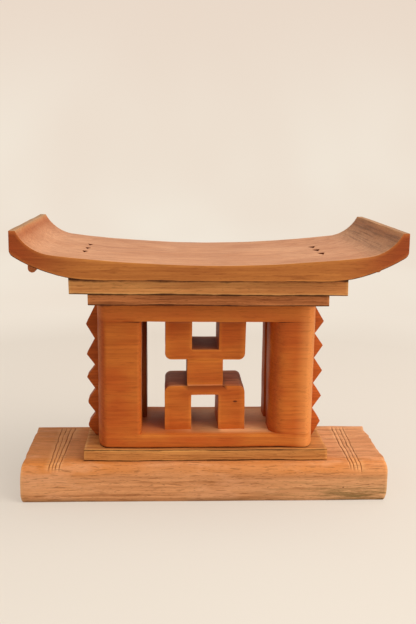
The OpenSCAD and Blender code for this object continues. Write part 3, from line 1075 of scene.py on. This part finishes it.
def pits_group():
    """Small dark pits, far apart."""
    tree, given, out = new_group(
        "worm pits",
        [("Vector", "NodeSocketVector", None), ("Spacing", "NodeSocketFloat", 40.0)],
        [("Mask", "NodeSocketFloat")])
    cells = place_node(
        tree, "ShaderNodeTexVoronoi", {"feature": "F1"}, Vector=given["Vector"], Scale=given["Spacing"])
    dot = between(tree, cells.outputs["Distance"], 0.055, 0.03)
    chosen = split(tree, cells.outputs["Color"])[0]
    tree.links.new(maths(tree, "MULTIPLY", dot, between(tree, chosen, 0.55, 0.6)), out["Mask"])
    return tree


PITS = pits_group()


def base_tones(tree, vector, colour):
    """Painted shadow of the stool on the left of the top, orange at the front shoulder, pale patches, and
    weather low down on the right.
    """
    x, y, z = split(tree, vector)
    upward = attribute(tree, "upward")
    uneven = noise_value(tree, stretch(tree, vector, 6, 20), 1.0, 3.0, 0.5)
    # Painted shadow: the top on the left, where the stool shades it.
    colour = stain(tree, colour, linear(204, 126, 62), 0.7, upward, between(tree, x, -0.06, -0.17))
    shoulder = product(tree, between(tree, z, 0.034, 0.046), between(tree, y, -0.052, -0.066))
    colour = stain(tree, colour, linear(214, 130, 58), 0.65, shoulder, between(tree, uneven, 0.3, 0.6))
    pale = between(tree, noise_value(tree, stretch(tree, vector, 13, 40), 1.0, 4.0, 0.6), 0.5, 0.68)
    colour = stain(tree, colour, linear(232, 170, 124), 0.45, pale)
    low_down = between(tree, z, 0.046, 0.012)
    right = between(tree, x, 0.02, 0.22)
    cloud = noise_value(tree, stretch(tree, vector, 16, 260), 1.0, 5.0, 0.75)
    colour = stain(tree, colour, linear(232, 180, 130), 0.5, low_down, right)
    patch = between(tree, cloud, 0.44, 0.60)
    colour = stain(tree, colour, linear(124, 98, 54), 0.85, low_down, right, patch)
    foot = product(tree, between(tree, z, 0.008, 0.001), between(tree, uneven, 0.3, 0.55))
    colour = stain(tree, colour, linear(120, 88, 48), 0.6, foot)
    return stain(tree, colour, linear(58, 34, 18), 0.8, use_group(tree, PITS, Vector=vector)["Mask"])


def seat_tones(tree, vector, colour):
    """Flat rims gone grey, most of all on the left, and painted shade on the right slope, which faces away
    from the light, with lines of weather along it.
    """
    x = split(tree, vector)[0]
    upward = attribute(tree, "upward")
    rim = seat_end - RIM
    left = between(tree, x, -rim + 2 * MM, -rim)
    right = product(tree, between(tree, x, rim - 2 * MM, rim), 0.35)
    colour = stain(tree, colour, linear(150, 118, 82), 0.75, maths(tree, "ADD", left, right), upward)
    # Painted shade on the right inner slope, which faces away from the light, with weather lines along it.
    slope = product(tree, between(tree, x, 188 * MM, 232 * MM), between(tree, upward, 0.0, 0.4))
    contours = noise_value(tree, scaled(tree, vector, (330, 9, 330)), 1.0, 4.0, 0.65)
    colour = stain(tree, colour, linear(148, 112, 78), 0.42, slope)
    return stain(tree, colour, linear(96, 62, 36), 0.6, slope, between(tree, contours, 0.46, 0.66))


def frame_tones(tree, vector, colour):
    """Painted light on the right column's outer side, painted shade on the floor inside on the left with lit
    patches on it to the right, painted shade between the legs and on the back left column, and painted light
    on the back right column and on the rail.
    """
    x, y, z = split(tree, vector)
    upward = attribute(tree, "upward")
    on_side = less(tree, upward)
    # Painted light: the outer side of the right column, lit by the lamp on the right.
    colour = stain(tree, colour, linear(240, 160, 88), 0.55, between(tree, x, 120 * MM, 142 * MM), on_side)
    dust_and_light_patches = noise_value(tree, stretch(tree, vector, 22, 90), 1.0, 4.0, 0.6)
    left = between(tree, x, 20 * MM, -50 * MM)
    right = less(tree, left)
    inside = product(tree, upward, between(tree, maths(tree, "ABSOLUTE", y), 66 * MM, 46 * MM))
    # Painted shade on the inner floor to the left, painted light in patches on the floor to the right.
    colour = stain(tree, colour, linear(180, 106, 66), 0.6, inside, left)
    colour = stain(tree, colour, linear(255, 186, 130), 0.9, inside, right, between(tree, dust_and_light_patches, 0.15, 0.45))
    shade_between_legs = product(tree, between(tree, x, -24 * MM, -16 * MM), between(tree, x, 24 * MM, 16 * MM))
    # Painted shade on the floor between the symbol's legs.
    colour = stain(tree, colour, linear(92, 52, 32), 0.5, inside, shade_between_legs)
    # Painted shadow on the back left column, and painted light on the back right column, where they show
    # through the openings.
    behind = product(tree, between(tree, y, 0, 6 * MM), between(tree, y, 70 * MM, 52 * MM), on_side)
    dark_left = product(tree, between(tree, x, -104 * MM, -94 * MM), between(tree, x, -70 * MM, -78 * MM))
    colour = stain(tree, colour, linear(80, 28, 8), 0.6, behind, dark_left)
    dark_right = product(tree, between(tree, x, 76 * MM, 80 * MM), between(tree, x, 92 * MM, 84 * MM))
    colour = stain(tree, colour, linear(206, 96, 38), 0.5, behind, dark_right)
    # Painted light on the rail, which the seat and treads above shade.
    rail = between(tree, z, top_low.z - 2 * MM, top_low.z + 8 * MM)
    return stain(tree, colour, linear(238, 134, 60), 0.45, rail, on_side)


def tread_tones(tree, vector, colour):
    """The tread's right end has gone a deeper brown."""
    right_end = between(tree, split(tree, vector)[0], 30 * MM, 150 * MM)
    return stain(tree, colour, linear(176, 92, 40), 0.4, right_end)


KNOT_PLACE = (41 * MM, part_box("centre_symbol")[0].y, floor_low.z + 60 * MM)
KNOT_SIZE = (3.4 * MM, 16 * MM, 1.6 * MM)


def symbol_tones(tree, vector, colour):
    """Tops gone grey-brown, the neck's painted shadow on the left of the lower top, darker on the shelf in
    the upper gap, and one small knot.
    """
    x, _, z = split(tree, vector)
    upward = attribute(tree, "upward")
    dust_and_light_patches = noise_value(tree, stretch(tree, vector, 24, 160), 1.0, 4.0, 0.7)
    # Painted shadow of the neck on the left of the lower block's top.
    left = between(tree, x, 10 * MM, -14 * MM)
    colour = stain(tree, colour, linear(124, 70, 42), 0.35, upward, left)
    shelf = between(tree, z, floor_high.z + ARMS_START, floor_high.z + ARM_GAP_START - 3 * MM)
    colour = stain(tree, colour, linear(98, 62, 42), 0.6, upward, shelf)
    colour = stain(tree, colour, linear(60, 32, 18), 0.5, upward, between(tree, dust_and_light_patches, 0.54, 0.68))
    return stain(tree, colour, linear(74, 30, 12), 0.85, spot(tree, vector, KNOT_PLACE, KNOT_SIZE))


# Dark lines at the joints, partly the joint itself and partly painted shadow: the height of each, and its
# width.
# The wide lines under the seat and under the lower tread are painted shade from the overhang above.
SEAT_EDGE = (0.0, 1.0 * MM)
SEAT_JOINT_SHADE = (seat_under, 4.5 * MM)
TREAD_JOINT = (upper_low.z, 1.5 * MM)
RAIL_JOINT = (lower_low.z, 1.6 * MM)
RAIL_CORNER_SHADE = (lower_low.z, 6.0 * MM)
PLINTH_JOINT = (floor_low.z, 1.6 * MM)
BASE_JOINT = (plinth_low.z, 1.7 * MM)

seat_timber = timber(
    "seat timber", linear(190, 120, 58), linear(138, 66, 24), top=linear(214, 159, 119),
    streak_amount=0.35, ring_amount=0.3, mottle_amount=0.3, pores=0.25, ring_spacing=0.0032,
    reddened_ends=linear(156, 70, 30), joints=(SEAT_EDGE,), extra=seat_tones)
lug_timber = timber("lug timber", linear(206, 116, 64), linear(136, 66, 28), streak_amount=0.3)
# Its pale is brighter than the wood: painted light that makes up for the seat's shade on the tread.
upper_tread_timber = timber(
    "upper tread timber", linear(254, 182, 108), linear(182, 98, 46), streak_amount=0.4, ring_amount=0.25,
    ring_spacing=0.0036, joints=(SEAT_JOINT_SHADE, TREAD_JOINT), crevice_shading=0.2, extra=tread_tones)
lower_tread_timber = timber(
    "lower tread timber", linear(214, 134, 78), linear(116, 54, 24), streak_amount=0.8, ring_amount=0.3,
    ring_spacing=0.0028, roughness=0.65, coat=0.0, joints=(TREAD_JOINT, RAIL_JOINT), pores=0.5)
frame_timber = timber(
    "frame timber", linear(212, 120, 46), linear(152, 64, 18), streak_amount=0.28, ring_amount=0.22,
    mottle_amount=0.2, joints=(RAIL_CORNER_SHADE, PLINTH_JOINT), red=linear(190, 74, 22), red_amount=0.7,
    pores=0.15, flecks=0.25, extra=frame_tones)
tooth_timber = timber(
    "tooth timber", linear(200, 98, 38), linear(126, 49, 18), streak_amount=0.55, ring_amount=0.5,
    ring_spacing=0.004, coat=0.0, pores=0.3)
symbol_timber = timber(
    "symbol timber", linear(218, 124, 48), linear(156, 68, 20), top=linear(250, 174, 122), streak_amount=0.3,
    ring_amount=0.25, red=linear(182, 70, 18), red_amount=0.65, pores=0.15, flecks=0.25, extra=symbol_tones)
plinth_timber = timber(
    "plinth timber", linear(222, 152, 82), linear(146, 78, 32), streak_amount=0.7, ring_amount=0.3,
    ring_spacing=0.003, joints=(PLINTH_JOINT, BASE_JOINT), pores=0.4)
base_timber = timber(
    "base timber", linear(234, 168, 114), linear(160, 96, 50), top=linear(234, 166, 114), streak_amount=0.5,
    ring_amount=0.12, roughness=0.6, extra=base_tones, ring_spacing=0.0035, pores=0.5, flecks=0.55)
peg_timber = timber("peg timber", linear(150, 100, 60), linear(100, 60, 34), coat=0.0, roughness=0.6)

make_seat()
make_lug(-1)
make_lug(1)
make_upper_tread()
make_lower_tread()
make_plate("top_plate", top_low.z)
make_plate("bottom_plate", floor_high.z)
for column in ("front_left_column", "front_right_column", "back_left_column", "back_right_column"):
    make_column(column)
make_zigzag_post(-1, LEFT_TEETH, LEFT_BLUNT)
make_zigzag_post(1, RIGHT_TEETH, RIGHT_BLUNT)
make_symbol()
make_plinth()
make_base()
for hidden in ("seat_pegs", "foot_pegs", "post_pins"):
    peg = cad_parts[hidden]
    peg.data.materials.clear()
    peg.data.materials.append(peg_timber)


# ---------------------------------------------------------------- studio

PAPER = linear(212, 203, 192)
# How bright the paper's glow is to anything but the camera, and its least share on the floor.
GLOW_UNSEEN = 0.62
FLOOR_GLOW = 0.5
# The floor turns into an evenly lit wall between these distances from the stool.
WALL_STARTS = 0.6
WALL_FULL = 1.4


def pale_paper():
    """Matt paper that turns into an evenly lit wall away from the stool."""
    paper = bpy.data.materials.new("pale paper")
    paper.use_nodes = True
    tree = paper.node_tree
    shader = tree.nodes["Principled BSDF"]
    shader.inputs["Base Color"].default_value = PAPER
    shader.inputs["Roughness"].default_value = 0.9
    shader.inputs["Specular IOR Level"].default_value = 0.1
    vector = place_node(tree, "ShaderNodeTexCoord").outputs["Object"]
    reach = vector_maths(tree, "LENGTH", vector)["Value"]
    seen = place_node(tree, "ShaderNodeLightPath").outputs["Is Camera Ray"]
    folds = noise_value(tree, stretch(tree, vector, 0.9, 0.5), 1.0, 2.0, 0.5)
    tone = blend_colours(tree, between(tree, folds, 0.3, 0.7), linear(237, 223, 207), linear(242, 232, 217))
    tone = stain(tree, tone, linear(234, 217, 201), 1.0, between(tree, split(tree, vector)[2], 0.2, 1.6))
    strength = maths(tree, "MULTIPLY_ADD", seen, 1 - GLOW_UNSEEN, GLOW_UNSEEN)
    glow = place_node(tree, "ShaderNodeEmission", {}, Color=tone, Strength=strength)
    share = maths(tree, "MAXIMUM", between(tree, reach, WALL_STARTS, WALL_FULL), FLOOR_GLOW)
    mixed = place_node(tree, "ShaderNodeMixShader", {}, Fac=share, i1=shader.outputs[0], i2=glow.outputs[0])
    tree.links.new(mixed.outputs[0], tree.nodes["Material Output"].inputs["Surface"])
    return paper


def make_studio_floor():
    """A round pale floor that curves up into a wall on every side."""
    bm = bmesh.new()
    reach, curve, wall = 3.2, 1.6, 3.4
    outline = [(0, 0)] + [(reach * i / 6, 0) for i in range(1, 7)]
    outline += [(reach + curve * math.sin(math.radians(9 * i)), curve * (1 - math.cos(math.radians(9 * i))))
                for i in range(1, 11)]
    outline.append((reach + curve, wall))
    spine = [bm.verts.new((x, 0, z)) for x, z in outline]
    edges = [bm.edges.new(pair) for pair in zip(spine, spine[1:])]
    bmesh.ops.spin(
        bm, geom=spine + edges, cent=(0, 0, 0), axis=(0, 0, 1), angle=math.tau, steps=64, use_merge=True,
        use_duplicate=False)
    bmesh.ops.remove_doubles(bm, verts=bm.verts[:], dist=1e-5)
    bmesh.ops.recalc_face_normals(bm, faces=bm.faces[:])
    mesh = bpy.data.meshes.new("studio_floor")
    bm.to_mesh(mesh)
    bm.free()
    mesh.shade_smooth()
    floor = bpy.data.objects.new("studio_floor", mesh)
    bpy.context.scene.collection.objects.link(floor)
    paper = pale_paper()
    mesh.materials.append(paper)


def soft_light(name, place, aim, width, height, watts, colour):
    """A broad lamp at a place, turned to what it lights."""
    data = bpy.data.lights.new(name, "AREA")
    data.shape = "RECTANGLE"
    data.size = width
    data.size_y = height
    data.energy = watts
    data.color = colour
    lamp = bpy.data.objects.new(name, data)
    lamp.location = place
    lamp.rotation_mode = "QUATERNION"
    lamp.rotation_quaternion = (Vector(aim) - Vector(place)).to_track_quat("-Z", "Y")
    bpy.context.scene.collection.objects.link(lamp)


def make_lights():
    world = bpy.data.worlds.new("soft room")
    world.use_nodes = True
    sky = world.node_tree.nodes["Background"]
    sky.inputs["Color"].default_value = (1.0, 0.97, 0.93, 1.0)
    sky.inputs["Strength"].default_value = 0.8
    bpy.context.scene.world = world
    soft_light("window", (2.1, -1.4, 1.3), (0, 0, 0.2), 2.2, 2.0, 50, (1.0, 0.96, 0.9))
    soft_light("ceiling", (0.8, -0.5, 2.5), (0, 0, 0.2), 2.0, 2.0, 34, (1.0, 0.97, 0.93))


CAMERA_PLACE = (-53.3 * MM, -1212.8 * MM, 481.3 * MM)
CAMERA_YAW = 2.68
CAMERA_PITCH = 10.74
CAMERA_ROLL = 0.68
CAMERA_LENS = 50.0


def make_camera():
    data = bpy.data.cameras.new("camera")
    data.lens = CAMERA_LENS
    data.sensor_width = 36.0
    data.clip_start = 0.02
    data.clip_end = 40
    camera = bpy.data.objects.new("camera", data)
    turn = (
        Matrix.Rotation(math.radians(-CAMERA_YAW), 4, "Z")
        @ Matrix.Rotation(math.radians(90 - CAMERA_PITCH), 4, "X")
        @ Matrix.Rotation(math.radians(CAMERA_ROLL), 4, "Z"))
    camera.matrix_world = Matrix.Translation(CAMERA_PLACE) @ turn
    bpy.context.scene.collection.objects.link(camera)
    bpy.context.scene.camera = camera


make_studio_floor()
make_lights()
make_camera()
bpy.context.scene.view_settings.view_transform = "Standard"

find_crevices(PIECES)
